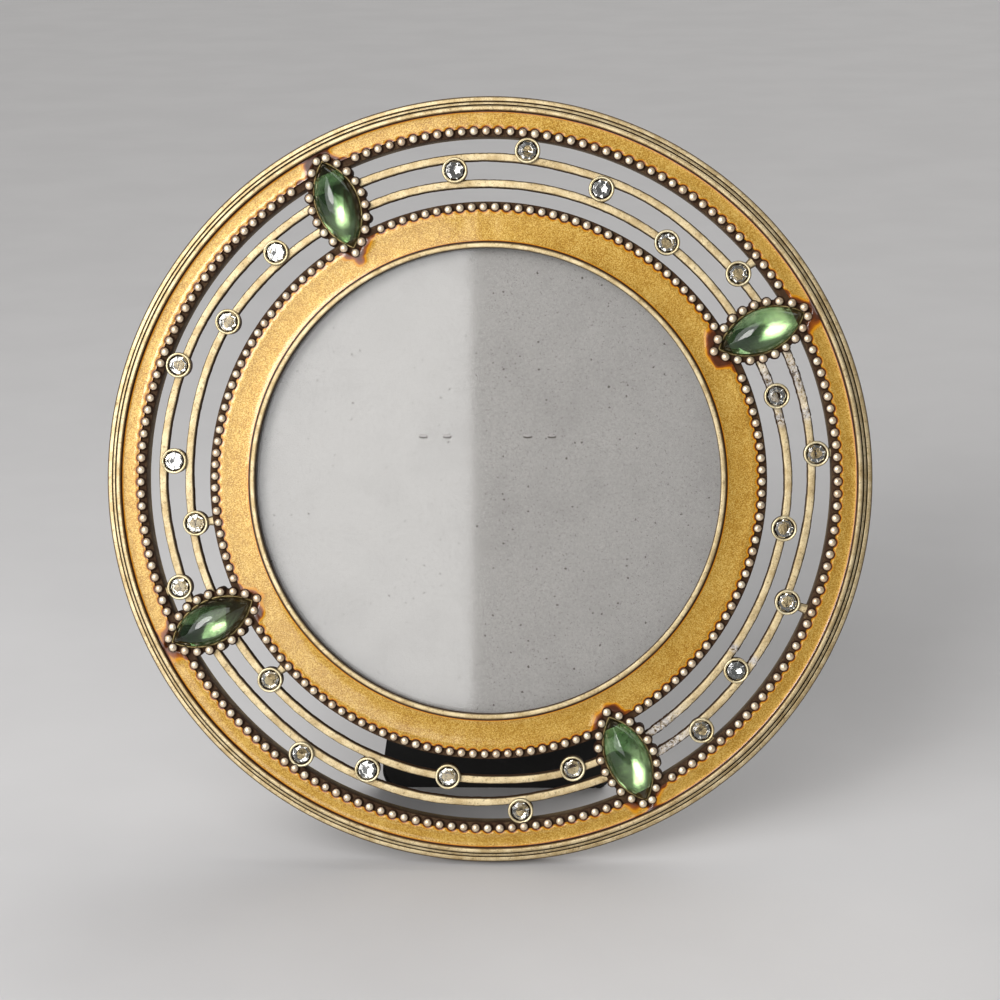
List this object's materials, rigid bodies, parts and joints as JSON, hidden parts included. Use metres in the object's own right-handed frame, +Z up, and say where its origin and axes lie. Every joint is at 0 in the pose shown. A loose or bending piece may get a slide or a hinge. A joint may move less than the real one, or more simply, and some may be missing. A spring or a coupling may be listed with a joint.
{
  "type": "round photo frame",
  "caption": "Round openwork metal table photo frame with beaded rings, wires, green cabochons, small clear stones and amber enamel, on a hinged easel leg.",
  "frame": {"origin": "centre of the bounding box on the table surface, at rest on the table", "axes": "+Z up from the table, -Y towards the viewer of the picture, +X to the viewer's right"},
  "size_m": [0.146, 0.043, 0.1419],
  "materials": {
    "antique_gold_metal": "satin antique gold plate",
    "amber_enamel": "glossy glitter enamel",
    "green_glass": "polished",
    "clear_crystal": "polished facets",
    "pane_glass": "clear float glass",
    "grey_chipboard": "uncoated",
    "black_velvet": "short pile",
    "black_lined_board": "black paper lining",
    "plated_steel": "nickel plated"
  },
  "bodies": {
    "frame": {"frame_casting": "antique_gold_metal", "outer_enamel": "amber_enamel", "inner_enamel": "amber_enamel", "cabochon_1": "green_glass", "cabochon_2": "green_glass", "cabochon_3": "green_glass", "cabochon_4": "green_glass", "small_stone_01": "clear_crystal", "small_stone_02": "clear_crystal", "small_stone_03": "clear_crystal", "small_stone_04": "clear_crystal", "small_stone_05": "clear_crystal", "small_stone_06": "clear_crystal", "small_stone_07": "clear_crystal", "small_stone_08": "clear_crystal", "small_stone_09": "clear_crystal", "small_stone_10": "clear_crystal", "small_stone_11": "clear_crystal", "small_stone_12": "clear_crystal", "small_stone_13": "clear_crystal", "small_stone_14": "clear_crystal", "small_stone_15": "clear_crystal", "small_stone_16": "clear_crystal", "small_stone_17": "clear_crystal", "small_stone_18": "clear_crystal", "small_stone_19": "clear_crystal", "small_stone_20": "clear_crystal", "small_stone_21": "clear_crystal", "small_stone_22": "clear_crystal", "small_stone_23": "clear_crystal", "glass_pane": "pane_glass", "backing_board": "grey_chipboard", "backing_cloth": "black_velvet", "hinge_upper_leaf": "plated_steel", "hinge_pin": "plated_steel", "hinge_staples": "plated_steel", "button_screws": "plated_steel"},
    "leg": {"leg_core": "black_lined_board", "leg_cloth": "black_velvet", "hinge_lower_leaf": "plated_steel", "leg_rivets": "plated_steel"},
    "button_top": {"turn_button_top": "plated_steel"},
    "button_left": {"turn_button_left": "plated_steel"},
    "button_right": {"turn_button_right": "plated_steel"}
  },
  "joints": [
    {"name": "leg_hinge", "type": "hinge", "parent": "frame", "child": "leg", "pos_m": [0, 0.00442, 0.07313], "axis": [-1, 0, 0], "range_deg": [0, 24]},
    {"name": "turn_button_top_spin", "type": "hinge", "parent": "frame", "child": "button_top", "pos_m": [0, 0.01562, 0.11899], "axis": [0, -0.9659, 0.2588], "continuous": true},
    {"name": "turn_button_left_spin", "type": "hinge", "parent": "frame", "child": "button_left", "pos_m": [-0.04347, -0.00386, 0.04625], "axis": [0, -0.9659, 0.2588], "continuous": true},
    {"name": "turn_button_right_spin", "type": "hinge", "parent": "frame", "child": "button_right", "pos_m": [0.04347, -0.00386, 0.04625], "axis": [0, -0.9659, 0.2588], "continuous": true}
  ]
}
